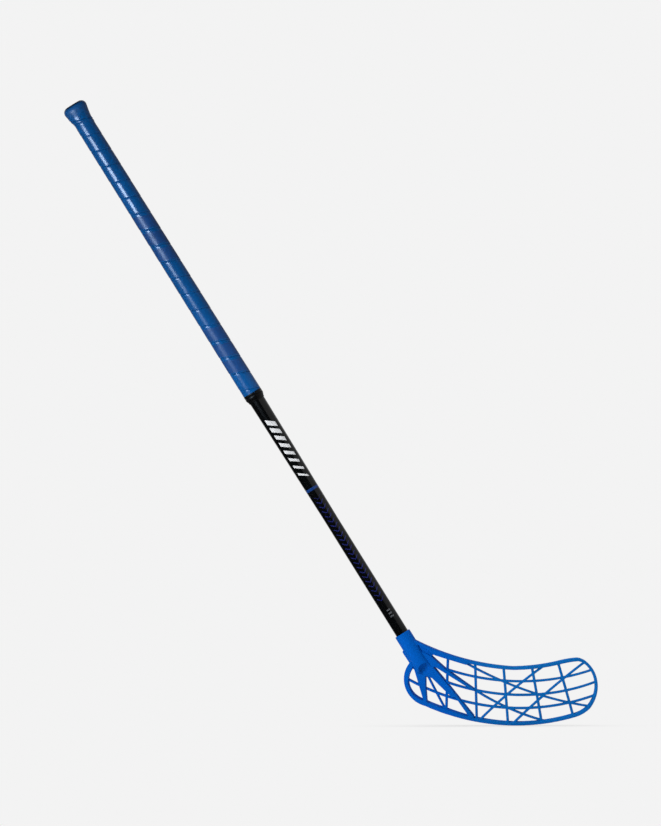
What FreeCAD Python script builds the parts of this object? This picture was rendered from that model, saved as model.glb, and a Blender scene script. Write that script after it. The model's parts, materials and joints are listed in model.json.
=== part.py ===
import FreeCAD, Part
import math
import os

V = FreeCAD.Vector

# All sizes are millimetres and degrees.
# Lengths along the stick run down the shaft's axis from the butt face.

# Whole stick
shaft_lean = 31.94           # shaft off the upright when the sole lies on the floor
shaft_length = 926.0         # butt face to the lower end of the tube
grip_middle = 246.0          # butt face to the part's origin, the middle of the grip
end_to_floor = 113.7         # lower end of the tube to the floor, along the axis

# Shaft tube
tube_diameter = 22.6         # under the grip
tube_end_diameter = 18.6     # below the taper
tube_wall = 1.6
taper_length = 200.0         # starts where the grip ends
slide_gap = 0.15             # radial room between pieces pushed over each other

# Butt plug with its flared knob
plug_flange = 10.0           # butt face to the seat on top of the tube
plug_disc_chamfer = 0.5      # edge of the bare top that shows inside the tape
knob_flare = 2.4             # how far the skirt widens above its lower edge
knob_length = 24.5           # butt face to the lower edge of the skirt
knob_edge = 1.3              # thickness of the skirt's lower edge
plug_stem_length = 32.0      # below the seat
plug_stem_wall = 2.4
plug_stem_lead = 1.5         # chamfer that leads the stem into the tube

# Grip tape, one strip wound over knob and tube
tape_thickness = 2.3
grip_length = 482.0          # butt face to the lower end of the tape
tape_round = 8.0             # rounding where the tape turns over the knob
tape_slope = 4.5             # length in which the tape settles from the skirt onto the tube
tape_pitch = 26.75           # step from turn to turn
seam_phase = 47.9            # butt face to a crossing of the seam on the front
seam_width = 0.9             # round groove between two turns, half as deep
seam_start = 12.0            # butt face to the first stretch of seam

# Black ring that finishes the grip
band_length = 13.0
band_shoulder = 7.0          # full-width stretch of the ring
band_step = 4.0              # length of the slope below it
band_lip = 0.7               # thickness of its lower edge

# Socket of the blade for the shaft
socket_depth = 41.0          # length of tube inside the socket
socket_floor_gap = 0.3       # between the tube's end and the socket's floor
socket_floor = 21.0          # material below the socket
scoop_radius = 11.0          # round hollow that runs the socket's end out into the blade
scoop_depth = 21.4           # lower end of the tube to the middle of that hollow
scoop_front = 11.8           # and the middle's place in front of the axis
hosel_wall = 1.8
hosel_end_round = 6.0
hosel_rim_chamfer = 0.5
glue_thickness = 0.4
glue_gap = 0.05              # between the glue film and either wall

# Screws through the back of the socket into the tube
screw_diameter = 3.0
screw_length = 8.5
screw_head_diameter = 5.6
screw_head_height = 1.8
screw_head_round = 0.7
screw_recess_width = 0.9
screw_recess_span = 3.2
screw_recess_depth = 1.0
screw_gap = 0.1              # radial room round the screw's shank
screw_boss_diameter = 8.6
screw_boss_height = 1.6      # flat seat of the head over the hosel
upper_screw_depth = 12.0     # below the socket's mouth
screw_spacing = 17.0

# Blade, a lattice bent to a ball's surface
hook_radius = 530.0
face_tilt = 17.0             # top of the blade leans to the front
hook_along = 32.0            # point that faces the ball's centre, from the shaft's floor point
hook_height = 50.0           # its height over the floor
hook_setback = 4.5           # and its distance behind the shaft's axis
rim_depth_heel = 10.0        # depth is measured through the blade
rim_depth_toe = 5.5
rib_depth_heel = 5.0
rib_depth_toe = 3.6
beam_depth_heel = 11.0
beam_depth_toe = 7.5
web_depth_heel = 4.2
web_depth_toe = 3.4
long_rib_width = 2.6
cross_rib_width = 3.3
slant_rib_width = 2.5
ball_spread = 26.0           # the blade lies within so many degrees of its middle, seen from the centre
ball_core = 80.0             # and within this depth under the ball's surface
wall_near = 1.03             # walls are cut from shares of the ball's radius that pass both faces
wall_far = 0.92

# Front view of the blade.
# Each pair is the distance from the shaft's floor point towards the toe, and the height over the floor.
# Rim edges: every second point is the middle of an arc from the point before it to the point after it.
rim_outer = [(-63.6, 122.0), (-5.0, 98.5), (75.0, 84.2), (108.0, 86.3), (140.0, 92.1), (153.0, 94.9),
             (166.0, 96.4), (173.8, 94.7), (180.0, 90.7), (195.4, 53.5), (184.6, 25.0), (175.4, 17.9),
             (163.5, 12.8), (78.0, 1.4), (-14.0, 16.4), (-31.4, 22.3), (-48.3, 29.4), (-75.5, 52.6),
             (-70.7, 90.3)]
rim_inner = [(-59.0, 116.0), (-5.0, 94.4), (75.0, 80.4), (108.0, 82.2), (141.0, 87.9), (154.0, 90.7),
             (166.5, 92.2), (172.2, 91.1), (177.2, 88.0), (192.4, 56.0), (181.4, 27.4), (172.2, 20.6),
             (161.2, 16.5), (75.0, 5.2), (-15.5, 23.4), (-34.4, 29.8), (-52.6, 37.6), (-72.6, 62.0),
             (-67.4, 80.5)]

# Ribs: end, middle and end of an arc, or two ends; those that meet a rim are drawn past it
long_ribs = [[(-17.5, 80.2), (82.0, 63.4), (196.0, 82.4)],
             [(-17.5, 62.0), (85.0, 43.9), (200.0, 65.0)],
             [(-76.0, 67.8), (65.0, 25.8), (200.0, 46.4)]]
cross_ribs = [[(-16.9, 100.0), (-19.1, 20.0)],
              [(21.6, 91.0), (24.2, 7.0)],
              [(61.8, 85.0), (68.6, 2.0)],
              [(101.7, 86.0), (116.5, 4.0)],
              [(138.7, 92.0), (162.0, 11.0)]]
slant_ribs = [[(4.0, 92.0), (90.0, 51.9), (190.0, 26.6)],
              [(16.0, 54.6), (67.6, 25.9), (122.0, 6.4)],
              [(26.0, 5.6), (72.0, 48.8), (122.0, 87.4)],
              [(73.4, 0.8), (124.6, 48.2), (182.0, 94.0)],
              [(-45.6, 72.0), (-20.6, 24.0)]]

# Thick beams that fan out from the socket, and the web between socket and rims
beams = [[(-46.0, 108.0), (-38.1, 102.4), (9.0, 87.8), (12.0, 89.6), (10.0, 92.4), (-45.0, 112.0)],
         [(-52.0, 106.0), (-39.5, 99.2), (-19.8, 81.4), (21.5, 52.2), (20.2, 50.6), (-15.6, 73.0),
          (-35.6, 85.5), (-37.2, 83.0), (-44.0, 81.0), (-52.0, 86.0)],
         [(-56.0, 92.0), (-35.0, 82.0), (-12.4, 54.6), (20.8, 13.6), (15.0, 12.0), (-5.4, 41.2),
          (-11.8, 42.4), (-19.0, 49.6), (-39.0, 69.2), (-54.0, 74.0)],
         [(-64.8, 84.0), (-59.2, 65.2), (-50.5, 36.0), (-46.2, 33.0), (-48.0, 56.1), (-48.2, 78.0)]]
web = [(-60.0, 119.0), (-39.8, 104.6), (-35.6, 86.0), (-41.0, 70.0), (-48.2, 70.0), (-66.0, 81.4),
       (-71.2, 89.6), (-81.3, 104.9), (-79.5, 108.0), (-79.0, 112.0)]

# Worked out from the sizes above
tube_radius = tube_diameter / 2
tube_end_radius = tube_end_diameter / 2
bore_radius = tube_radius - tube_wall
skirt_bore = tube_radius + slide_gap
skirt_edge = skirt_bore + knob_edge
knob_widest = skirt_edge + knob_flare
grip_radius = skirt_bore + tape_thickness
grip_widest = knob_widest + slide_gap + tape_thickness
knob_round = tape_round - tape_thickness - slide_gap
plug_disc_radius = knob_widest - knob_round
knob_top = tape_round - knob_round
tape_settled = knob_length + tape_slope
band_end = grip_length + band_length
taper_end = band_end + taper_length
hosel_mouth = shaft_length - socket_depth
socket_radius = tube_end_radius + glue_thickness + 2 * glue_gap
hosel_radius = socket_radius + hosel_wall
hosel_end = shaft_length + socket_floor_gap + socket_floor
screw_seat = hosel_radius + screw_boss_height
screw_depths = [hosel_mouth + upper_screw_depth, hosel_mouth + upper_screw_depth + screw_spacing]

# Frame of the shaft: x to the right, y to the front, z down the axis
lean = math.radians(shaft_lean)
down = V(math.sin(lean), 0, -math.cos(lean))
right = V(math.cos(lean), 0, math.sin(lean))
front = V(0, -1, 0)
butt = down * -grip_middle
floor_point = butt + down * (shaft_length + end_to_floor)


def frame(x, y, z, origin):
    """Placement whose axes and origin are the given vectors."""
    return FreeCAD.Placement(FreeCAD.Matrix(x.x, y.x, z.x, origin.x,
                                            x.y, y.y, z.y, origin.y,
                                            x.z, y.z, z.z, origin.z,
                                            0, 0, 0, 1))


on_shaft = frame(right, front, down, butt)


def placed(shape, placement):
    """The shape moved from its own frame to the part's frame."""
    moved = shape.copy()
    moved.Placement = placement
    return moved


def turned(profile, corner=None):
    """Solid of revolution about the axis; the profile is pairs of radius and depth.

    The profile is closed by a straight edge, or by a quarter arc about the point given as corner.
    """
    points = [V(radius, 0, depth) for radius, depth in profile]
    if corner:
        centre = V(corner[0], 0, corner[1])
        crest = ((points[0] - centre) + (points[-1] - centre)) * math.sqrt(0.5)
        closing = Part.Arc(points[-1], centre + crest, points[0]).toShape()
    else:
        closing = Part.makeLine(points[-1], points[0])
    face = Part.Face(Part.Wire(Part.makePolygon(points).Edges + [closing]))
    return face.revolve(V(0, 0, 0), V(0, 0, 1), 360)


def tape_radius(depth):
    """Outer radius of the wound grip: the knob, its slope, the settling stretch and the even grip."""
    stations = [(tape_round, grip_widest), (knob_length, skirt_edge + slide_gap + tape_thickness),
                (tape_settled, grip_radius)]
    if depth <= tape_round:
        return grip_widest
    for (top, wide), (low, slim) in zip(stations, stations[1:]):
        if depth <= low:
            return wide + (slim - wide) * (depth - top) / (low - top)
    return grip_radius


def shaft_tube():
    end_bore = tube_end_radius - tube_wall
    return turned([(bore_radius, plug_flange), (tube_radius, plug_flange), (tube_radius, band_end),
                   (tube_end_radius, taper_end), (tube_end_radius, shaft_length), (end_bore, shaft_length),
                   (end_bore, taper_end), (bore_radius, band_end)])


def butt_plug():
    stem = bore_radius - slide_gap
    stem_bore = stem - plug_stem_wall
    stem_end = plug_flange + plug_stem_length
    disc = plug_disc_radius - slide_gap
    knob = turned([(knob_widest, tape_round), (skirt_edge, knob_length), (skirt_bore, knob_length),
                   (skirt_bore, plug_flange), (stem, plug_flange), (stem, stem_end - plug_stem_lead),
                   (stem - plug_stem_lead, stem_end), (stem_bore, stem_end), (stem_bore, plug_flange),
                   (0, plug_flange), (0, knob_top), (plug_disc_radius, knob_top)],
                  (plug_disc_radius, tape_round))
    top = turned([(0, 0), (disc - plug_disc_chamfer, 0), (disc, plug_disc_chamfer), (disc, plug_flange),
                  (0, plug_flange)])
    return knob.fuse(top).removeSplitter()


def seam_point(turn):
    """Point of the seam on the grip's surface, so many turns from its crossing on the front."""
    depth = seam_phase + tape_pitch * turn
    angle = math.pi / 2 - 2 * math.pi * turn
    radius = tape_radius(depth)
    return V(radius * math.cos(angle), radius * math.sin(angle), depth)


def seam_direction(turn):
    step = 0.001
    return (seam_point(turn + step) - seam_point(turn - step)).normalize()


def tangent_arc(start, direction, end):
    """Arc from start to end that leaves start in the given direction."""
    chord = end - start
    turn = direction.getAngle(chord)
    corner = start + direction * (chord.Length / 2 / math.cos(turn))
    middle = (start + end) * 0.5
    crest = middle + (corner - middle) * (math.tan(turn / 2) / math.tan(turn))
    return Part.Arc(start, crest, end).toShape()


def biarc(start, leaving, end, arriving):
    """Two arcs that meet in one direction, from start to end, with both end directions given."""
    chord = end - start
    both = leaving + arriving
    spread = 2 * (1 - leaving.dot(arriving))
    along = chord.dot(both)
    reach = (math.sqrt(along * along + spread * chord.dot(chord)) - along) / spread
    joint = (start + leaving * reach + end - arriving * reach) * 0.5
    second = tangent_arc(end, arriving * -1, joint)
    return [tangent_arc(start, leaving, joint), second]


def seam_cutter():
    """Round wire along the whole seam, a helix of quarter turns."""
    first = math.floor((seam_start - seam_phase) / tape_pitch * 4)
    last = math.ceil((grip_length - seam_phase) / tape_pitch * 4) + 1
    turns = [quarter / 4 for quarter in range(first, last + 1)]
    edges = []
    for turn, after in zip(turns, turns[1:]):
        edges += biarc(seam_point(turn), seam_direction(turn), seam_point(after), seam_direction(after))
    path = Part.Wire(edges)
    circle = Part.Circle(seam_point(turns[0]), seam_direction(turns[0]), seam_width / 2).toShape()
    samples = 24
    apart = samples * 3 // 4
    points = [seam_point(first / 4 + step / samples) for step in range(int((last - first) / 4 * samples) + 1)]
    gap = min((a - b).Length for number, a in enumerate(points) for b in points[number + apart:]) - seam_width
    print("grip seam: %.1f turns, least gap to itself %.2f mm" % (turns[-1] - turns[0], gap))
    return path.makePipeShell([Part.Wire(circle)], True, False)


def grip_tape():
    """Wound strip: a sleeve over knob and tube with the seam of its turns as one unbroken groove."""
    sleeve = turned([(grip_widest, tape_round), (skirt_edge + slide_gap + tape_thickness, knob_length),
                     (grip_radius, tape_settled), (grip_radius, grip_length), (skirt_bore, grip_length),
                     (skirt_bore, tape_settled), (skirt_edge + slide_gap, knob_length),
                     (knob_widest + slide_gap, tape_round), (plug_disc_radius, tape_round),
                     (plug_disc_radius, 0)], (plug_disc_radius, tape_round))
    room = turned([(knob_widest + slide_gap, tape_round), (0, tape_round), (0, tape_thickness),
                   (plug_disc_radius, tape_thickness)], (plug_disc_radius, tape_round))
    return sleeve.cut(room).cut(seam_cutter())


def grip_end_band():
    lip = skirt_bore + band_lip
    slope = grip_length + band_shoulder
    return turned([(skirt_bore, grip_length), (grip_radius, grip_length), (grip_radius, slope),
                   (lip, slope + band_step), (lip, band_end), (skirt_bore, band_end)])


def adhesive_sleeve():
    inner = tube_end_radius + glue_gap
    outer = inner + glue_thickness
    sleeve = turned([(inner, hosel_mouth), (outer, hosel_mouth), (outer, shaft_length), (inner, shaft_length)])
    return sleeve.cut(screw_holes())


def screw_holes():
    radius = screw_diameter / 2 + screw_gap
    holes = [Part.makeCylinder(radius, screw_seat, V(0, 0, depth), V(0, -1, 0)) for depth in screw_depths]
    return Part.makeCompound(holes)


def screw(depth):
    """Pan-head screw with a cross recess; the head sits on the boss behind the socket."""
    seat = -screw_seat
    shank = Part.makeCylinder(screw_diameter / 2, screw_length, V(0, seat, depth), V(0, 1, 0))
    head = Part.makeCylinder(screw_head_diameter / 2, screw_head_height, V(0, seat, depth), V(0, -1, 0))
    low = seat - screw_head_height
    head = head.makeFillet(screw_head_round, [min(head.Edges, key=lambda edge: edge.CenterOfMass.y)])
    for wide, tall in ((screw_recess_span, screw_recess_width), (screw_recess_width, screw_recess_span)):
        head = head.cut(Part.makeBox(wide, screw_recess_depth, tall, V(-wide / 2, low, depth - tall / 2)))
    return head.fuse(shank).removeSplitter()


# Frame of the blade: x along it, y up it, z to the front; its drawing lies at z = 0
tilt = math.radians(face_tilt)
blade_x = V(1, 0, 0)
blade_y = V(0, -math.sin(tilt), math.cos(tilt))
blade_z = V(0, -math.cos(tilt), -math.sin(tilt))
blade_origin = floor_point + V(hook_along, hook_setback, hook_height)
on_blade = frame(blade_x, blade_y, blade_z, blade_origin)
ball_centre = V(0, 0, -hook_radius)


def drawn(point):
    """Front-view pair to the blade's drawing, through the ball's surface and along its radius."""
    along, height = point
    centre = blade_origin - blade_z * hook_radius
    x = floor_point.x + along - centre.x
    z = floor_point.z + height - centre.z
    y = -math.sqrt(hook_radius ** 2 - x * x - z * z)
    ray = V(x, y, z)
    share = hook_radius / ray.dot(blade_z)
    return V(ray.dot(blade_x) * share, ray.dot(blade_y) * share, 0)


def flat(edges):
    """Face of the drawing that looks to the front, whichever way its edges run."""
    face = Part.Face(Part.Wire(edges))
    if face.normalAt(0, 0).z < 0:
        face.reverse()
    return face


def polygon(points):
    return flat(Part.makePolygon(points + points[:1]).Edges)


def drawn_polygon(pairs):
    return polygon([drawn(pair) for pair in pairs])


def outline(pairs):
    """Closed face of arcs, each through the point between its ends, and one straight edge."""
    points = [drawn(pair) for pair in pairs]
    arcs = [Part.Arc(*points[first:first + 3]).toShape() for first in range(0, len(points) - 2, 2)]
    return flat(arcs + [Part.makeLine(points[-1], points[0])])


def rib(pairs, width):
    """Flat band of even width along an arc or a straight line."""
    points = [drawn(pair) for pair in pairs]
    if len(points) == 2:
        side = (points[1] - points[0]).cross(V(0, 0, 1)).normalize() * (width / 2)
        return polygon([points[0] + side, points[1] + side, points[1] - side, points[0] - side])
    centre = Part.Arc(*points).toShape().Curve.Center
    outer = [point + (point - centre).normalize() * (width / 2) for point in points]
    inner = [point - (point - centre).normalize() * (width / 2) for point in points]
    return flat([Part.Arc(*outer).toShape(), Part.makeLine(outer[2], inner[2]),
                 Part.Arc(*reversed(inner)).toShape(), Part.makeLine(inner[0], outer[0])])


def ball(radius, shift):
    """Piece of a ball, its centre shifted along the blade, that holds the whole blade."""
    core = radius - ball_core
    half = math.radians(ball_spread)
    rise = V(0, math.sin(half), math.cos(half))
    fall = V(0, -math.sin(half), math.cos(half))
    ahead = V(0, 0, 1)
    edges = [Part.Arc(fall * radius, ahead * radius, rise * radius).toShape(),
             Part.makeLine(rise * radius, rise * core),
             Part.Arc(rise * core, ahead * core, fall * core).toShape(),
             Part.makeLine(fall * core, fall * radius)]
    section = Part.Face(Part.Wire(edges))
    section.rotate(V(0, 0, 0), V(0, 1, 0), -ball_spread)
    solid = section.revolve(V(0, 0, 0), V(0, 1, 0), 2 * ball_spread)
    solid.translate(ball_centre + V(shift, 0, 0))
    return solid


def bent(face, heel_depth, toe_depth):
    """Solid of a flat face of the drawing, bent to the ball, its depth changing from heel to toe."""
    heel = drawn((min(rim_outer)[0], hook_height)).x / hook_radius
    toe = drawn((max(rim_outer)[0], hook_height)).x / hook_radius
    shift = (heel_depth - toe_depth) / (toe - heel)
    middle = heel_depth + shift * heel
    slab = ball(hook_radius + middle / 2, -shift / 2).cut(ball(hook_radius - middle / 2, shift / 2))
    walls = []
    for wire in [face.OuterWire] + [wire for wire in face.Wires if not wire.isSame(face.OuterWire)]:
        ends = [wire.copy(), wire.copy()]
        for end, share in zip(ends, (wall_far, wall_near)):
            end.scale(share, ball_centre)
        walls.append(Part.makeLoft(ends, True, True))
    solid = walls[0]
    if walls[1:]:
        solid = solid.cut(Part.makeCompound(walls[1:]))
    return solid.common(slab)


def blade():
    rim = outline(rim_outer).cut(outline(rim_inner)).Faces[0]
    middle = [((a + c) / 2, (b + d) / 2) for (a, b), (c, d) in zip(rim_outer, rim_inner)]
    ribs = [rib(pairs, long_rib_width) for pairs in long_ribs]
    ribs += [rib(pairs, cross_rib_width) for pairs in cross_ribs]
    ribs += [rib(pairs, slant_rib_width) for pairs in slant_ribs]
    lattice = ribs[0].multiFuse(ribs[1:]).removeSplitter().common(outline(middle))
    solids = [bent(rim, rim_depth_heel, rim_depth_toe)]
    solids += [bent(face, rib_depth_heel, rib_depth_toe) for face in lattice.Faces]
    solids += [bent(drawn_polygon(pairs), beam_depth_heel, beam_depth_toe) for pairs in beams]
    solids.append(bent(drawn_polygon(web), web_depth_heel, web_depth_toe))
    hosel = Part.makeCylinder(hosel_radius, hosel_end - hosel_mouth, V(0, 0, hosel_mouth), V(0, 0, 1))
    hosel = hosel.makeFillet(hosel_end_round, [max(hosel.Edges, key=lambda edge: edge.CenterOfMass.z)])
    hosel = hosel.makeChamfer(hosel_rim_chamfer, [min(hosel.Edges, key=lambda edge: edge.CenterOfMass.z)])
    bosses = [Part.makeCylinder(screw_boss_diameter / 2, screw_seat, V(0, 0, depth), V(0, -1, 0))
              for depth in screw_depths]
    body = placed(hosel.multiFuse(bosses).removeSplitter(), on_shaft)
    for solid in solids:
        body = body.fuse(placed(solid, on_blade))
    socket = Part.makeCylinder(socket_radius, socket_depth + socket_floor_gap, V(0, 0, hosel_mouth), V(0, 0, 1))
    scoop = Part.makeSphere(scoop_radius, V(0, scoop_front, shaft_length + scoop_depth))
    for hollow in (socket, screw_holes(), scoop):
        body = body.cut(placed(hollow, on_shaft))
    return body.removeSplitter()


nodes = {
    "shaft_tube": placed(shaft_tube().cut(screw_holes()), on_shaft),
    "butt_plug": placed(butt_plug(), on_shaft),
    "grip_tape": placed(grip_tape(), on_shaft),
    "grip_end_band": placed(grip_end_band(), on_shaft),
    "adhesive_sleeve": placed(adhesive_sleeve(), on_shaft),
    "upper_blade_screw": placed(screw(screw_depths[0]), on_shaft),
    "lower_blade_screw": placed(screw(screw_depths[1]), on_shaft),
    "blade": blade(),
}
os.makedirs("parts", exist_ok=True)
for name, shape in nodes.items():
    print("%-18s solids %d  valid %s  volume %.0f" % (name, len(shape.Solids), shape.isValid(), shape.Volume))
    shape.exportStep("parts/%s.step" % name)
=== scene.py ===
import json
import math

import bmesh
import bpy
import numpy as np
from bpy.props import FloatProperty, FloatVectorProperty, IntProperty, PointerProperty, StringProperty
from mathutils import Matrix, Vector


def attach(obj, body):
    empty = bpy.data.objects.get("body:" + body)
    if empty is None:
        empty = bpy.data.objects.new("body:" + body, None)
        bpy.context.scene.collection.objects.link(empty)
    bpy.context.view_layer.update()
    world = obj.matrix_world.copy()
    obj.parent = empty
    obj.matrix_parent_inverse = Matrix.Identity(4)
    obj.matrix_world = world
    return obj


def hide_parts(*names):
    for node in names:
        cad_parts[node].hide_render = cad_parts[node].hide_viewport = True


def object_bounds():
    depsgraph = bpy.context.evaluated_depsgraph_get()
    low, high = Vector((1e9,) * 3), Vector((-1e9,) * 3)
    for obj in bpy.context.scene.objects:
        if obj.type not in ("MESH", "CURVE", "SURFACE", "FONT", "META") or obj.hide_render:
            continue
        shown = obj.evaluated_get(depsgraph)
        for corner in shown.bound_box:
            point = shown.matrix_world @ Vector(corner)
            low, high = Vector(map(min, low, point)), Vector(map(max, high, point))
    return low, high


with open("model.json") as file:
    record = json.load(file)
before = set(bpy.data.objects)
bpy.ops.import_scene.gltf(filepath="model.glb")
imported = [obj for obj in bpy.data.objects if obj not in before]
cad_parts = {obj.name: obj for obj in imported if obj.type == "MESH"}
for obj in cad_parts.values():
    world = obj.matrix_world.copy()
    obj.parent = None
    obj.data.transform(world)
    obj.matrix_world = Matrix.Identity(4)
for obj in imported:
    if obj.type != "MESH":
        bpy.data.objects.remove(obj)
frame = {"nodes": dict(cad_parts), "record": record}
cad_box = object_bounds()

bl_info = {
    "name": "Floorball stick",
    "version": (1, 0, 0),
    "blender": (4, 5, 0),
    "location": "3D View > Sidebar > Stick",
    "description": "Dresses the solids of a floorball stick: wound grip, lacquered shaft and lattice blade",
    "category": "Object",
}

MM = 0.001
# Points closer together than this become one
MERGE = 0.002 * MM

# The shaft's own frame, read from the part's mounts: x to the right, y to the front, z down the axis
mounts = {mount["name"]: mount for mount in frame["record"]["mounts"]}
butt = Vector(mounts["butt_face"]["pos_m"])
down = -Vector(mounts["grip"]["axis"]).normalized()
right = Vector((-down.z, 0, down.x))
front = Vector((0, -1, 0))
shaft_turn = Matrix((right, front, down)).transposed()

# Sizes in mm: radius of the tube under the grip, of the hole in the tape at the butt and of the knob's
# rounded top, and depth of the tape's lower end below the butt
TUBE = 11.5
HOLE = 9.6
KNOB_TOP = 8.0
TAPE_END = 482.0

# Turns of the strip over which the ledge above and the bead below the knob's seam come and go
KNOB_BEAD_TURNS = ((-1.7, -1.4, -0.6, -0.25), (0, 1, 1, 0))
KNOB_LEDGE_TURNS = ((-2.7, -2.4, -1.6, -1.25), (0, 1, 1, 0))


def length_setting(name, description, size):
    """Setting for a length; its default is given in mm."""
    return FloatProperty(name=name, description=description, default=size * MM, subtype="DISTANCE",
                         unit="LENGTH")


def colour_setting(name, description, code):
    """Setting for a colour as an sRGB hex value."""
    return StringProperty(name=name, description=f"{description}, sRGB hex", default=code)


class GripSettings(bpy.types.PropertyGroup):
    """Wound grip and its black end ring"""

    pitch: length_setting("Pitch", "Step from turn to turn", 26.75)
    phase: length_setting("Phase", "Butt face to a crossing of the seam on the front", 47.9)
    closing: length_setting("Closing", "How far the first turns crowd away from the knob", 4.0)
    seam_depth: length_setting("Seam depth", "Depth of the valley between two turns", 0.35)
    seam_width: length_setting("Seam width", "Half width of that valley", 0.55)
    edge_lift: length_setting("Edge lift", "How far a turn's lower edge stands over the next", 0.22)
    edge_roll: length_setting("Edge roll", "How far a turn's upper edge rolls in under the last", 0.45)
    roll_width: length_setting("Roll width", "Width of that rolled edge", 3.5)
    knob_ledge: length_setting("Knob ledge", "Rise of the strip's lower edge on the knob's slope", 0.85)
    knob_bead: length_setting("Knob bead", "Rise of the next turn where it climbs off the knob", 0.7)
    bead_width: length_setting("Bead width", "Width of that ledge and bead", 5.5)
    columns: IntProperty(name="Columns", description="Faces round the grip", default=120)
    colour: colour_setting("Tape", "Colour of the tape", "01437c")
    stripe_colour: colour_setting("Tape stripe", "Colour of the darker stripes", "083a74")
    ring_colour: colour_setting("Ring", "Colour of the end ring", "060607")


class ShaftSettings(bpy.types.PropertyGroup):
    """Lacquered tube and its generic marks"""

    lacquer: colour_setting("Lacquer", "Colour of the lacquer", "040506")
    bars: colour_setting("Slanted bars", "Colour of the slanted bars", "d0d2d5")
    ring: colour_setting("Ring stripe", "Colour of the ring stripe", "103573")
    chevrons: colour_setting("Chevrons", "Colour of the fine chevrons", "1b2160")
    ticks: colour_setting("Ticks", "Colour of the small ticks", "53565a")


class BladeSettings(bpy.types.PropertyGroup):
    """Moulded lattice blade"""

    cell: length_setting("Cell", "Size of the cells that round the moulded edges", 0.42)
    rounding: IntProperty(name="Rounding", description="Passes that round the edges", default=30)
    triangles: IntProperty(name="Triangles", description="Triangles that are kept", default=180000)
    swell: length_setting("Swell", "Growth of the surface after the rounding", 0.24)
    colour: colour_setting("Plastic", "Colour of the moulding", "0055b2")
    # Paler colour painted towards the toe: painted light, standing in for light through the thin walls
    painted_toe_light_colour: colour_setting("Thin plastic", "Colour of the thin lattice towards the toe", "0a64b0")


class StageSettings(bpy.types.PropertyGroup):
    """Floor, light and camera"""

    background: colour_setting("Background", "Colour of floor and backdrop", "f3f3f3")
    distance: length_setting("Distance", "Camera to the stick", 20000.0)
    # The picture's 826 rows at 1.42 mm each
    view_height: length_setting("View height", "Height of the picture at the stick", 826 * 1.42)
    aim: FloatVectorProperty(name="Aim", description="Middle of the picture", subtype="TRANSLATION",
                             default=(236.1 * MM, 0.0, -229.2 * MM))
    ambient: FloatProperty(name="Ambient", description="Level of the light from all round", default=0.2)


def paint(code):
    """Linear colour of an sRGB hex value."""
    share = np.array([int(code[first:first + 2], 16) for first in (0, 2, 4)]) / 255
    linear = np.where(share <= 0.04045, share / 12.92, ((share + 0.055) / 1.055) ** 2.4)
    return (*linear.tolist(), 1.0)


def add(tree, kind, sockets=None, **settings):
    """A new node with its settings; each socket gets a value, or a link from a node or an output."""
    made = tree.nodes.new(kind)
    for name, value in settings.items():
        setattr(made, name, value)
    for name, value in (sockets or {}).items():
        if isinstance(value, bpy.types.Node):
            value = value.outputs[0]
        if isinstance(value, bpy.types.NodeSocket):
            tree.links.new(value, made.inputs[name])
        else:
            made.inputs[name].default_value = value
    return made


def calculate(tree, operation, *values):
    """Math node with these values on its sockets."""
    return add(tree, "ShaderNodeMath", dict(enumerate(values)), operation=operation)


def spread(tree, value, low, high, first=0.0, last=1.0):
    """Carries a value's range from first to last over to low to high, and holds it at both ends."""
    return add(tree, "ShaderNodeMapRange", {"Value": value, "From Min": first, "From Max": last,
                                            "To Min": low, "To Max": high})


def noise(tree, place, size, detail):
    """Noise with spots of about the given size."""
    return add(tree, "ShaderNodeTexNoise", {"Vector": place, "Scale": 1 / size, "Detail": detail})


def bump(tree, height, strength, rise):
    """Bump in which a height of one stands for the given rise."""
    return add(tree, "ShaderNodeBump", {"Height": height, "Strength": strength, "Distance": rise})


def blend(tree, share, first, second):
    """Colour that goes from the first to the second with the share."""
    return add(tree, "ShaderNodeMix", {0: share, 6: first, 7: second}, data_type="RGBA").outputs[2]


def shaded(tree, colour, level):
    """Colour times a level."""
    return add(tree, "ShaderNodeVectorMath", {0: colour, "Scale": level}, operation="SCALE")


def new_material(name):
    """An empty node material and its tree."""
    material = bpy.data.materials.new(name)
    material.use_nodes = True
    material.node_tree.nodes.clear()
    return material, material.node_tree


def finish_material(tree, sockets):
    """Ends a tree in a Principled shader with these sockets."""
    shader = add(tree, "ShaderNodeBsdfPrincipled", sockets)
    add(tree, "ShaderNodeOutputMaterial", {"Surface": shader})


def object_place(tree):
    """Object coordinates, in metres."""
    return add(tree, "ShaderNodeTexCoord").outputs["Object"]


def shaft_coordinates(tree):
    """Object coordinates turned into the shaft's own frame, as three separate outputs."""
    frame_sockets = {"Vector": object_place(tree), "Location": butt, "Rotation": shaft_turn.to_euler()}
    turned = add(tree, "ShaderNodeMapping", frame_sockets, vector_type="TEXTURE")
    return add(tree, "ShaderNodeSeparateXYZ", {"Vector": turned}).outputs


def stripes(tree, run, across, pitch, share, field, height):
    """Mask of stripes: a share of each pitch of the run, inside a field of the run and a height across it.

    field and height are each a middle and a half size.
    """
    phase = calculate(tree, "FRACT", calculate(tree, "DIVIDE", run, pitch))
    mask = calculate(tree, "LESS_THAN", phase, share)
    for value, (middle, half) in ((run, field), (across, height)):
        mask = calculate(tree, "MULTIPLY", mask, calculate(tree, "COMPARE", value, middle, half))
    return mask


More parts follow.
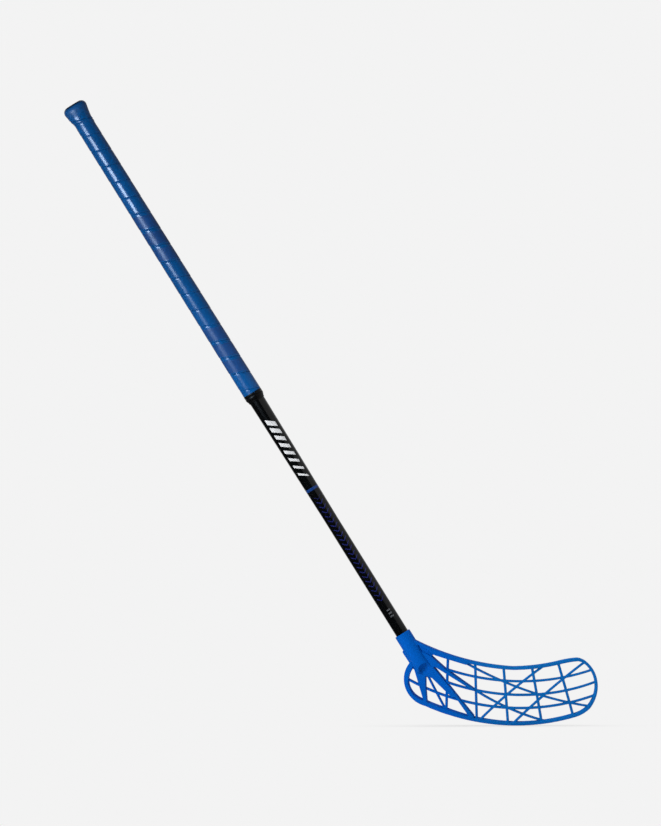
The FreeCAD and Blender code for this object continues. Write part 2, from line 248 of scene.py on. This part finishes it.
def lacquered_composite(settings):
    """Clear gloss over black fibre composite: deep black with a sharp reflection and generic marks."""
    material, tree = new_material("Gloss lacquer on fibre composite")
    across, _, depth = shaft_coordinates(tree)

    # Slanted bars that get thinner down the shaft
    bar_slope = -0.75
    slanted = calculate(tree, "MULTIPLY_ADD", across, bar_slope, depth)
    thinner = spread(tree, depth, 0.66, 0.22, first=530 * MM, last=634 * MM)
    bars = stripes(tree, slanted, across, pitch=12.6 * MM, share=thinner, field=(579.5 * MM, 50.4 * MM),
                   height=(0.0, 6.0 * MM))

    # Fine chevrons below the ring stripe
    chevron_slope = 0.9
    folded = calculate(tree, "ABSOLUTE", across)
    pointed = calculate(tree, "MULTIPLY_ADD", folded, chevron_slope, depth)
    chevrons = stripes(tree, pointed, across, pitch=7.75 * MM, share=0.2, field=(745 * MM, 85.3 * MM),
                       height=(0.0, 5.2 * MM))

    # Small ticks above the blade, and the ring stripe
    ticks = stripes(tree, depth, across, pitch=5.0 * MM, share=0.4, field=(852.5 * MM, 7.4 * MM),
                    height=(1.0 * MM, 2.6 * MM))
    ring_depth, ring_half = 643 * MM, 2.0 * MM
    ring = calculate(tree, "COMPARE", depth, ring_depth, ring_half)

    colour = paint(settings.lacquer)
    for mask, code in ((bars, settings.bars), (chevrons, settings.chevrons), (ticks, settings.ticks),
                       (ring, settings.ring)):
        colour = blend(tree, mask, colour, paint(code))

    # Hand marks of about 20 mm dull the gloss a little; the lacquer's skin ripples at about 3 mm
    place = object_place(tree)
    rough = spread(tree, noise(tree, place, 20 * MM, detail=3.0), 0.1, 0.24)
    skin = bump(tree, noise(tree, place, 3 * MM, detail=1.0), strength=0.05, rise=0.2 * MM)
    finish_material(tree, {"Base Color": colour, "Roughness": rough, "Normal": skin})
    return material


def grip_polyurethane(settings):
    """Satin polyurethane skin on foam: saturated blue, soft narrow highlight, two darker stripes."""
    material, tree = new_material("Polyurethane grip tape")
    place = object_place(tree)
    depth = shaft_coordinates(tree)[2]

    # Two darker stripes along the strip, each nearly three turns long, with slanted ends
    strip = add(tree, "ShaderNodeSeparateXYZ", {0: add(tree, "ShaderNodeUVMap", uv_map="Strip")}).outputs
    turns, across = strip[0], strip[1]
    end_slope, half_turns = 0.12, 1.4
    slanted = calculate(tree, "MULTIPLY_ADD", across, end_slope, turns)
    first, second = (calculate(tree, "COMPARE", slanted, middle, half_turns) for middle in (6.1, 13.1))
    band_middle, band_half = 0.55, 0.36
    band = calculate(tree, "COMPARE", across, band_middle, band_half)
    stripe = calculate(tree, "MULTIPLY", calculate(tree, "ADD", first, second), band)
    tape = blend(tree, stripe, paint(settings.colour), paint(settings.stripe_colour))

    # Dye is cloudy over about 30 mm. Painted light: the tape is painted darker towards the butt and brighter
    # towards the lower end, where more light falls, and the edge that is turned in over the plug is made much
    # darker
    dye_and_painted_light = spread(tree, noise(tree, place, 30 * MM, detail=4.0), 0.9, 1.08, first=0.3, last=0.7)
    painted_lower_light = spread(tree, depth, 1.0, 1.35, first=250 * MM, last=480 * MM)
    # The top 4 mm of the tape, turned in over the plug, is made much darker, down to about a sixth
    darker_top_edge = spread(tree, depth, 0.15, 1.0, first=1 * MM, last=4 * MM)
    for level in (painted_lower_light, darker_top_edge):
        dye_and_painted_light = calculate(tree, "MULTIPLY", dye_and_painted_light, level)

    # Skin with grain of about 0.8 mm, drawn at 1.6 mm so that it shows, over waves of about 6 mm
    grain = add(tree, "ShaderNodeTexVoronoi", {"Vector": place, "Scale": 1 / (1.6 * MM)})
    waves = noise(tree, place, 6 * MM, detail=3.0)
    wave_height = 0.8
    height = calculate(tree, "MULTIPLY_ADD", waves, wave_height, grain)
    skin = bump(tree, height, strength=0.09, rise=0.1 * MM)

    # The knob's top is worn matt by the palm, and the stripes are duller than the tape
    worn = spread(tree, depth, 0.17, 0.0, first=10 * MM, last=17 * MM)
    tape_rough = calculate(tree, "ADD", spread(tree, waves, 0.2, 0.3), worn)
    stripe_rough = 0.15
    rough = calculate(tree, "MULTIPLY_ADD", stripe, stripe_rough, tape_rough)
    finish_material(tree, {"Base Color": shaded(tree, tape, dye_and_painted_light), "Roughness": rough, "Normal": skin})
    return material


def moulded_polyethylene(settings):
    """Injection-moulded polyethylene blend: strong even blue, half matt, with a spark-eroded fine grain."""
    material, tree = new_material("Moulded polyethylene")
    place = object_place(tree)
    # Painted light: past the socket the colour is painted paler towards the toe, standing in for light that
    # passes through the thin walls
    along = add(tree, "ShaderNodeSeparateXYZ", {"Vector": place}).outputs["X"]
    thin = spread(tree, along, 0.0, 1.0, first=400 * MM, last=470 * MM)
    plastic = blend(tree, thin, paint(settings.colour), paint(settings.painted_toe_light_colour))
    # Flow of the melt shades the colour over about 40 mm; the grain of about 0.4 mm is drawn at 0.9 mm
    flow = noise(tree, place, 40 * MM, detail=4.0)
    level = spread(tree, flow, 0.93, 1.06, first=0.3, last=0.7)
    skin = bump(tree, noise(tree, place, 0.9 * MM, detail=2.0), strength=0.18, rise=0.1 * MM)
    finish_material(tree, {"Base Color": shaded(tree, plastic, level), "Normal": skin,
                           "Roughness": spread(tree, flow, 0.42, 0.56), "Specular IOR Level": 0.03})
    return material


def plain_finish(name, code, rough_low, rough_high, grain_size, sockets=None):
    """One colour with cloudy level and roughness, and a fine grain of the given size, for small parts."""
    material, tree = new_material(name)
    place = object_place(tree)
    cloud = noise(tree, place, 8 * grain_size, detail=3.0)
    colour = shaded(tree, paint(code)[:3], spread(tree, cloud, 0.85, 1.15))
    skin = bump(tree, noise(tree, place, grain_size, detail=2.0), strength=0.15, rise=0.1 * MM)
    rough = spread(tree, cloud, rough_low, rough_high)
    finish_material(tree, {"Base Color": colour, "Roughness": rough, "Normal": skin, **(sockets or {})})
    return material


def on_shaft(radius, angle, depth):
    """Points at a radius and angle round the axis; the angle runs from the front to the right."""
    sideways = (radius * np.sin(angle))[..., None] * np.array(right)
    forwards = (radius * np.cos(angle))[..., None] * np.array(front)
    return np.array(butt) + sideways + forwards + np.asarray(depth)[..., None] * np.array(down)


def new_piece(name, mesh):
    """Object with this mesh, linked to the scene."""
    piece = bpy.data.objects.new(name, mesh)
    bpy.context.scene.collection.objects.link(piece)
    return piece


def grid_piece(name, points, strip=None):
    """Object from a grid of points, rows down and columns round; equal points are merged.

    strip gives the map of each face's corners, rows by columns by four.
    """
    rows, columns = points.shape[:2]
    index = np.arange(rows * columns).reshape(rows, columns)
    quads = np.stack([index[:-1, :-1], index[1:, :-1], index[1:, 1:], index[:-1, 1:]], axis=-1)
    mesh = bpy.data.meshes.new(name)
    mesh.from_pydata(points.reshape(-1, 3).tolist(), [], quads.reshape(-1, 4).tolist())
    if strip is not None:
        mesh.uv_layers.new(name="Strip").data.foreach_set("uv", strip.astype(np.float32).ravel())
    shell = bmesh.new()
    shell.from_mesh(mesh)
    bmesh.ops.remove_doubles(shell, verts=shell.verts, dist=MERGE)
    bmesh.ops.dissolve_degenerate(shell, edges=shell.edges, dist=MERGE)
    shell.to_mesh(mesh)
    shell.free()
    mesh.shade_smooth()
    mesh.set_sharp_from_angle(angle=math.radians(50))
    return new_piece(name, mesh)


def quarter(centre, size, start, end, steps):
    """Pairs of radius and depth on an arc about centre; angles from straight out towards the butt."""
    angle = np.radians(np.linspace(start, end, steps))
    return np.stack([centre[0] + size * np.cos(angle), centre[1] - size * np.sin(angle)], axis=-1)


def strip_section(settings, section, wound):
    """How far the strip stands out at a place across it, after the turns wound so far.

    A valley at both edges, shaped like a bell curve; a straight rise to the lower edge; an upper edge that
    rolls in with the square of the way, below the knob. Round the seam that crosses the knob's slope, the
    turn above ends in a ledge, a straight ramp, and the turn below starts with a bead, half a sine wave.
    """
    pitch = settings.pitch
    lift_fade, ledge_fade = 0.3 * MM, 0.7 * MM
    edge = np.minimum(section, pitch - section)
    push = -settings.seam_depth * np.exp(-(edge / settings.seam_width) ** 2)
    push = push + settings.edge_lift * (section / pitch - 0.5) * np.clip(edge / lift_fade, 0, 1)
    roll = np.clip(1 - section / settings.roll_width, 0, 1) ** 2
    push = push - settings.edge_roll * roll * np.interp(wound, (-0.5, 0.5), (0, 1))
    ramp = np.clip(1 - (pitch - section) / settings.bead_width, 0, 1)
    ledge = ramp * np.clip(edge / ledge_fade, 0, 1)
    bead = np.sin(np.pi * np.clip(section / settings.bead_width, 0, 1))
    push = push + settings.knob_ledge * ledge * np.interp(wound, *KNOB_LEDGE_TURNS)
    return push + settings.knob_bead * bead * np.interp(wound, *KNOB_BEAD_TURNS)


def wound_grip(settings):
    """Strip wound over knob and tube.

    A path runs from the hole over the knob and down the tube. Rows follow the seam: a row's place on the
    path grows by one pitch per turn, is pushed down a little near the knob, and is held at both ends. Each
    point then moves out along the path's normal by the strip's section, which fades out at both ends.
    """
    outer = np.concatenate([quarter((HOLE, KNOB_TOP), KNOB_TOP, 90, 0, 14),
                            [(17.4, 9.6), (15.6, 18.0), (14.3, 25.0), (13.7, 28.6), (13.6, 30.0)],
                            [(13.65, 31.5), (13.75, 34.0), (13.75, TAPE_END)]]) * MM
    along = np.concatenate([[0.0], np.cumsum(np.linalg.norm(np.diff(outer, axis=0), axis=1))])
    length = along[-1]
    pitch = settings.pitch
    start = settings.phase + length - TAPE_END * MM
    near = np.array([0.0, 0.14, 0.28, 0.42, 0.6, 0.9, 1.4, 2.1, 2.9, 3.8]) * MM
    across = np.concatenate([near, np.linspace(5 * MM, pitch - 5 * MM, 8), pitch - near[:0:-1]])
    turns = np.arange(-4, 19)
    rows = (start + turns[:, None] * pitch + across).ravel()
    theta = np.linspace(0, 2 * np.pi, settings.columns + 1)
    turned = theta / (2 * np.pi)
    place = rows[:, None] + pitch * turned
    crowding = np.interp(place, (start - pitch, start + 2 * pitch), (1, 0))
    place = np.clip(place + settings.closing * crowding, 0, length)

    # Points on the path, and the section pushed out along its normal
    step, top_fade, end_fade = 0.4 * MM, 8 * MM, 1.5 * MM
    radius, depth = (np.interp(place, along, values) for values in outer.T)
    slope_r, slope_d = (np.interp(place + step, along, values) - np.interp(place - step, along, values)
                        for values in outer.T)
    size = np.hypot(slope_r, slope_d)
    section = np.tile(across, len(turns))[:, None]
    wound = np.repeat(turns, len(across))[:, None] + turned
    push = strip_section(settings, section, wound)
    push = push * np.clip((place - top_fade) / top_fade, 0, 1)
    push = push * np.clip((length - place) / end_fade, 0, 1)
    radius = radius + push * slope_d / size
    depth = depth - push * slope_r / size

    # Inner side, from the lower end up the tube and over the plug's knob to the hole
    inside = np.concatenate([[(TUBE, TAPE_END), (TUBE, 29.0), (12.8, 24.5), (15.2, 8.0)],
                             quarter((HOLE, KNOB_TOP), 5.6, 45, 90, 3), [(HOLE, 0.0)]]) * MM
    ones = np.ones_like(theta)
    radius = np.concatenate([radius, inside[:, :1] * ones])
    depth = np.concatenate([depth, inside[:, 1:] * ones])
    points = on_shaft(radius, np.broadcast_to(theta, radius.shape), depth)

    # Map of the strip: turns wound so far, and share of the way across; zero on the inner side
    upper = np.tile(across / pitch, len(turns))
    lower = np.tile(np.append(across[1:], pitch) / pitch, len(turns))
    count = np.repeat(turns, len(across)).astype(float)
    hidden = np.zeros(len(points) - 1 - len(rows))
    upper, lower, count = (np.append(values, hidden) for values in (upper, lower, count))
    strip = np.empty((len(points) - 1, settings.columns, 4, 2))
    strip[:, :, (0, 1), 0] = (count[:, None] + turned[:-1])[..., None]
    strip[:, :, (2, 3), 0] = (count[:, None] + turned[1:])[..., None]
    strip[:, :, (0, 3), 1] = upper[:, None, None]
    strip[:, :, (1, 2), 1] = lower[:, None, None]
    return grid_piece("wound_grip", points, strip)


def turned_piece(name, profile, columns=96):
    """Closed ring: a closed profile of radius and depth in mm carried round the axis."""
    loop = np.concatenate([profile, profile[:1]]) * MM
    theta = np.linspace(0, 2 * np.pi, columns + 1)
    ones = np.ones_like(theta)
    radius = loop[:, :1] * ones
    points = on_shaft(radius, np.broadcast_to(theta, radius.shape), loop[:, 1:] * ones)
    return grid_piece(name, points)


def modified(piece, kind, **settings):
    """Gives a piece the mesh that a modifier makes of it, and returns that mesh."""
    modifier = piece.modifiers.new(kind, kind)
    for name, value in settings.items():
        setattr(modifier, name, value)
    made = bpy.data.meshes.new_from_object(piece.evaluated_get(bpy.context.evaluated_depsgraph_get()))
    piece.modifiers.clear()
    last = piece.data
    piece.data = made
    bpy.data.meshes.remove(last)
    return made


def rounded_copy(node, name, settings):
    """Copy of a node with moulded edges.

    The merged copy is cut into fine cells. In each pass every point goes half way to the mean of its
    neighbours and then most of that way back, which rounds the edges. A step along the normals gives the
    thin ribs back what the rounding took, and flat places are then thinned to the wanted triangles.
    """
    mesh = frame["nodes"][node].data.copy()
    shell = bmesh.new()
    shell.from_mesh(mesh)
    bmesh.ops.remove_doubles(shell, verts=shell.verts, dist=MERGE)
    shell.to_mesh(mesh)
    shell.free()
    piece = new_piece(name, mesh)
    made = modified(piece, "REMESH", mode="VOXEL", voxel_size=settings.cell)
    points = np.empty(len(made.vertices) * 3)
    made.vertices.foreach_get("co", points)
    points = points.reshape(-1, 3)
    ends = np.empty(len(made.edges) * 2, np.int32)
    made.edges.foreach_get("vertices", ends)
    first, second = ends.reshape(-1, 2).T
    both = np.concatenate([first, second])
    other = np.concatenate([second, first])
    count = np.bincount(both, minlength=len(points))[:, None]
    forth, back = 0.5, -0.4
    for share in (forth, back) * settings.rounding:
        mean = np.stack([np.bincount(both, points[other, axis], len(points)) for axis in range(3)], axis=-1)
        points = points + share * (mean / count - points)
    made.vertices.foreach_set("co", points.ravel())
    made.update()
    normals = np.empty(points.size)
    made.vertex_normals.foreach_get("vector", normals)
    made.vertices.foreach_set("co", points.ravel() + settings.swell * normals)
    made.update()
    triangles = len(made.loops) - 2 * len(made.polygons)
    made = modified(piece, "DECIMATE", ratio=settings.triangles / triangles)
    made.name = name
    made.shade_smooth()
    return piece


def dress(piece, material, node):
    """Gives a new piece its material, lets it ride on the stick and hides the node it stands for."""
    piece.data.materials.clear()
    piece.data.materials.append(material)
    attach(piece, "root")
    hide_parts(node)


def coat(node, material):
    """Gives a node of the frame another material."""
    solid = frame["nodes"][node]
    solid.data.materials.clear()
    solid.data.materials.append(material)


class STICK_OT_shaft(bpy.types.Operator):
    """Lacquers the tube and finishes the plug in its butt"""

    bl_idname = "stick.shaft"
    bl_label = "Shaft and butt plug"

    def execute(self, context):
        coat("shaft_tube", lacquered_composite(context.scene.stick_shaft))
        # Moulded polypropylene: black, half matt
        coat("butt_plug", plain_finish("Black polypropylene", "111214", 0.4, 0.55, 0.6 * MM))
        return {"FINISHED"}


class STICK_OT_wound_grip(bpy.types.Operator):
    """Winds the grip tape and sets the black ring at its lower end"""

    bl_idname = "stick.wound_grip"
    bl_label = "Wound grip"

    def execute(self, context):
        settings = context.scene.stick_grip
        dress(wound_grip(settings), grip_polyurethane(settings), "grip_tape")
        # Soft black rubber: matt with a fine tooth, on a ring with a rounded shoulder and one shallow groove
        rubber = plain_finish("Black grip rubber", settings.ring_colour, 0.34, 0.5, 0.8 * MM,
                              {"Specular IOR Level": 0.3})
        shoulder = quarter((13.35, 482.5), 0.5, 70, 0, 4)
        groove = [(13.85, 485.6), (13.55, 485.9), (13.55, 486.3), (13.85, 486.6)]
        step = [(13.85, 488.4), (13.7, 489.3), (13.3, 490.2), (12.75, 491.5), (12.35, 492.6), (12.2, 493.2)]
        lip = [(12.2, 494.4), (12.0, 494.9), (11.7, 495.0), (TUBE, 494.8)]
        ring = np.concatenate([[(TUBE, TAPE_END), (13.3, TAPE_END)], shoulder, groove, step, lip])
        dress(turned_piece("grip_end_ring", ring), rubber, "grip_end_band")
        return {"FINISHED"}


class STICK_OT_blade(bpy.types.Operator):
    """Moulds the blade with rounded edges"""

    bl_idname = "stick.blade"
    bl_label = "Lattice blade"

    def execute(self, context):
        settings = context.scene.stick_blade
        piece = rounded_copy("blade", "lattice_blade", settings)
        dress(piece, moulded_polyethylene(settings), "blade")
        return {"FINISHED"}


class STICK_OT_fixings(bpy.types.Operator):
    """Finishes the screws and the glue that hold the blade"""

    bl_idname = "stick.fixings"
    bl_label = "Screws and glue"

    def execute(self, context):
        # Zinc-plated steel: bright, slightly clouded metal
        zinc = plain_finish("Zinc-plated steel", "c3c6c9", 0.28, 0.42, 0.5 * MM, {"Metallic": 1.0})
        coat("upper_blade_screw", zinc)
        coat("lower_blade_screw", zinc)
        # Hot-melt glue: cloudy amber film
        coat("adhesive_sleeve", plain_finish("Hot-melt glue", "c9b98a", 0.3, 0.45, 1.0 * MM))
        return {"FINISHED"}


def picture_rays(tree):
    """Mask of the rays that make the picture: from the camera, or on through something clear."""
    path = add(tree, "ShaderNodeLightPath").outputs
    return calculate(tree, "MAXIMUM", path["Is Camera Ray"], path["Is Transmission Ray"])


def lay_floor(scene, pale):
    """Square floor at the part's lowest point, left out of reflections.

    It is pale for the camera, with a painted contact shadow where the stick stands close, and diffuse for all
    other light.
    """
    material, tree = new_material("Pale floor")
    # Painted contact shadow: ambient occlusion dims the glow that the camera sees near the stick
    near = add(tree, "ShaderNodeAmbientOcclusion", {"Distance": 120 * MM}, samples=8)
    level = spread(tree, near.outputs["AO"], 0.55, 1.0)
    glow_with_painted_shadow = add(tree, "ShaderNodeEmission", {"Color": pale, "Strength": level})
    matt = add(tree, "ShaderNodeBsdfDiffuse", {"Color": pale})
    mixed = add(tree, "ShaderNodeMixShader", {0: picture_rays(tree), 1: matt, 2: glow_with_painted_shadow})
    add(tree, "ShaderNodeOutputMaterial", {"Surface": mixed})
    low = cad_box[0].z
    half = 3.0
    corners = [(-half, -half, low), (half, -half, low), (half, half, low), (-half, half, low)]
    mesh = bpy.data.meshes.new("floor")
    mesh.from_pydata(corners, [], [(0, 1, 2, 3)])
    mesh.materials.append(material)
    floor = bpy.data.objects.new("floor", mesh)
    scene.collection.objects.link(floor)
    floor.visible_glossy = False


def light_world(scene, pale, ambient):
    """Pale backdrop for the camera, even soft light, and in reflections a dark studio with a paler back."""
    world = bpy.data.worlds.new("Studio")
    scene.world = world
    world.use_nodes = True
    tree = world.node_tree
    tree.nodes.clear()
    heading = add(tree, "ShaderNodeTexCoord").outputs["Generated"]
    facing = add(tree, "ShaderNodeVectorMath", {0: heading, 1: front}, operation="DOT_PRODUCT")
    level = spread(tree, facing.outputs["Value"], 0.02, 0.6, first=-0.6, last=-0.98)
    glossy = add(tree, "ShaderNodeLightPath").outputs["Is Glossy Ray"]
    soft = add(tree, "ShaderNodeMix", {0: glossy, 2: ambient, 3: level})
    strength = add(tree, "ShaderNodeMix", {0: picture_rays(tree), 2: soft, 3: 1.0})
    sky = add(tree, "ShaderNodeBackground", {"Color": pale, "Strength": strength})
    add(tree, "ShaderNodeOutputWorld", {"Surface": sky})


def soft_box(name, centre, target, size, power, along=None):
    """Rectangular lamp that faces the target; its long side lies along the given direction."""
    lamp = bpy.data.lights.new(name, "AREA")
    lamp.shape = "RECTANGLE"
    lamp.size, lamp.size_y = size
    lamp.energy = power
    back = (Vector(centre) - Vector(target)).normalized()
    side = Vector(along or (1, 0, 0))
    side = (side - back * side.dot(back)).normalized()
    holder = bpy.data.objects.new(name, lamp)
    turn = Matrix((side, back.cross(side), back)).transposed()
    holder.matrix_world = Matrix.Translation(Vector(centre)) @ turn.to_4x4()
    holder.visible_camera = False
    bpy.context.scene.collection.objects.link(holder)
    return holder


def set_lamps():
    """Soft boxes; depths run down the shaft from the butt, in metres."""
    # Strips to the left of the grip, bright at the knob, only for the highlight
    turn = math.radians(35)
    away = -right * math.sin(turn) + front * math.cos(turn)
    strip_width = 0.54
    for name, top, end, power in (("Strip", 0.015, 0.160, 7.9), ("Low strip", 0.245, 0.478, 0.8)):
        middle = butt + down * ((top + end) / 2)
        strip = soft_box(name, middle + away, middle, (end - top, strip_width), power, down)
        strip.data.color = paint("d6ebff")[:3]
        strip.visible_diffuse = False
    # Dim walls of light on the right of the shaft and of the grip
    wall_distance = 0.5
    for name, top, end, ahead, width, power in (("Wall", 0.45, 0.9, 0.14, 2.08, 1.16),
                                                ("Upper wall", -0.1, 0.44, -0.2, 0.8, 0.22)):
        middle = butt + down * ((top + end) / 2) + front * ahead
        soft_box(name, middle + right * wall_distance, middle, (end - top, width), power, down)
    # Key light high on the left in front, a fill from behind and a small one over the toe, not in reflections
    key = ("Key", (-1.95, -2.6, 0.6), (2.5, 0.0, -2.5), 0.9, 110.0)
    back_fill = ("Back fill", (-0.5, 3.2, 1.0), (0.3, 0.0, -0.3), 0.9, 80.0)
    side_fill = ("Side fill", (0.9, 0.05, -0.25), (0.62, 0.0, -0.8), 0.4, 1.2)
    for name, centre, target, size, power in (key, back_fill, side_fill):
        soft_box(name, centre, target, (size, size), power).visible_glossy = False


def set_camera(scene, settings):
    """Camera far in front of the stick, level, with a lens that just holds the picture's height."""
    lens = bpy.data.cameras.new("Camera")
    lens.sensor_width = 36.0
    lens.lens = lens.sensor_width * settings.distance / settings.view_height
    lens.clip_end = 100.0
    camera = bpy.data.objects.new("Camera", lens)
    camera.location = Vector(settings.aim) + front * settings.distance
    camera.rotation_euler = (math.radians(90), 0, 0)
    scene.collection.objects.link(camera)
    scene.camera = camera


class STICK_OT_stage(bpy.types.Operator):
    """Lays the floor and sets light and camera"""

    bl_idname = "stick.stage"
    bl_label = "Stage"

    def execute(self, context):
        scene = context.scene
        settings = scene.stick_stage
        scene.view_settings.view_transform = "Standard"
        pale = paint(settings.background)
        lay_floor(scene, pale)
        light_world(scene, pale, settings.ambient)
        set_lamps()
        set_camera(scene, settings)
        return {"FINISHED"}


operators = (STICK_OT_shaft, STICK_OT_wound_grip, STICK_OT_blade, STICK_OT_fixings, STICK_OT_stage)
groups = {"stick_grip": GripSettings, "stick_shaft": ShaftSettings, "stick_blade": BladeSettings,
          "stick_stage": StageSettings}


class STICK_PT_panel(bpy.types.Panel):
    """Lists the steps and their settings"""

    bl_label = "Floorball stick"
    bl_idname = "STICK_PT_panel"
    bl_space_type = "VIEW_3D"
    bl_region_type = "UI"
    bl_category = "Stick"

    def draw(self, context):
        for operator in operators:
            self.layout.operator(operator.bl_idname)
        for group in groups:
            box = self.layout.box()
            settings = getattr(context.scene, group)
            for name in settings.__annotations__:
                box.prop(settings, name)


def register():
    for made in (*groups.values(), *operators, STICK_PT_panel):
        bpy.utils.register_class(made)
    for name, group in groups.items():
        setattr(bpy.types.Scene, name, PointerProperty(type=group))


def unregister():
    for name in groups:
        delattr(bpy.types.Scene, name)
    for made in (STICK_PT_panel, *operators, *groups.values()):
        bpy.utils.unregister_class(made)


def main():
    register()
    bpy.ops.stick.shaft()
    bpy.ops.stick.wound_grip()
    bpy.ops.stick.blade()
    bpy.ops.stick.fixings()
    bpy.ops.stick.stage()


if __name__ == "__main__":
    main()
